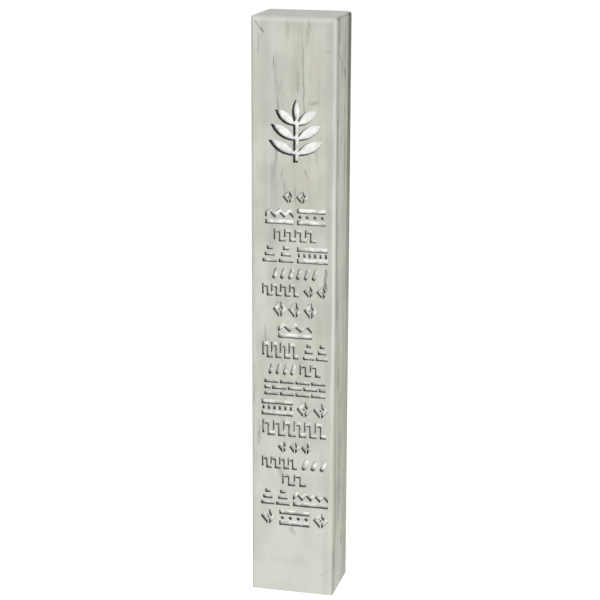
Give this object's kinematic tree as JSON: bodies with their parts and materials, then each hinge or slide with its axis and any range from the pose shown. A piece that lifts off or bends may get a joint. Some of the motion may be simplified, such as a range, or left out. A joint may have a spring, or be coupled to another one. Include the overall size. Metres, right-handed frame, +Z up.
{
  "type": "mezuzah case",
  "caption": "Slim upright doorpost case with an inlaid sprig emblem and engraved ornament, a bottom stopper, a rolled parchment inside and adhesive pads behind.",
  "frame": {"origin": "bottom centre of the whole object's box, on the case's bottom end", "axes": "+Z up the case, -Y out of the decorated front, +Y out of the adhesive back towards the doorpost, +X to the right seen from the front"},
  "size_m": [0.0218, 0.0172, 0.15],
  "materials": {
    "cast_resin": "white-washed marbled resin, satin",
    "silver_inlay": "soft polished silver",
    "silicone": "satin silicone",
    "parchment": "dry scraped parchment",
    "clear_film": "thin clear film",
    "adhesive_foam": "fine closed-cell foam",
    "release_liner": "glossy release film"
  },
  "bodies": {
    "case": {"case_body": "cast_resin", "emblem_inlay": "silver_inlay", "upper_foam_pad": "adhesive_foam", "lower_foam_pad": "adhesive_foam"},
    "stopper": {"silicone_stopper": "silicone"},
    "scroll": {"parchment_scroll": "parchment", "clear_scroll_wrap": "clear_film"},
    "upper_liner": {"upper_release_liner": "release_liner"},
    "lower_liner": {"lower_release_liner": "release_liner"}
  },
  "joints": [
    {"name": "stopper_slide", "type": "slide", "parent": "case", "child": "stopper", "axis": [0, 0, -1], "range_m": [0, 0.16]},
    {"name": "scroll_slide", "type": "slide", "parent": "case", "child": "scroll", "axis": [0, 0, -1], "range_m": [0, 0.136]},
    {"name": "upper_liner_peel", "type": "slide", "parent": "case", "child": "upper_liner", "axis": [0, 1, 0], "range_m": [0, 0.025]},
    {"name": "lower_liner_peel", "type": "slide", "parent": "case", "child": "lower_liner", "axis": [0, 1, 0], "range_m": [0, 0.025]}
  ],
  "couplings": [
    {"joint": "scroll_slide", "follows": "stopper_slide", "ratio": 0.85}
  ]
}
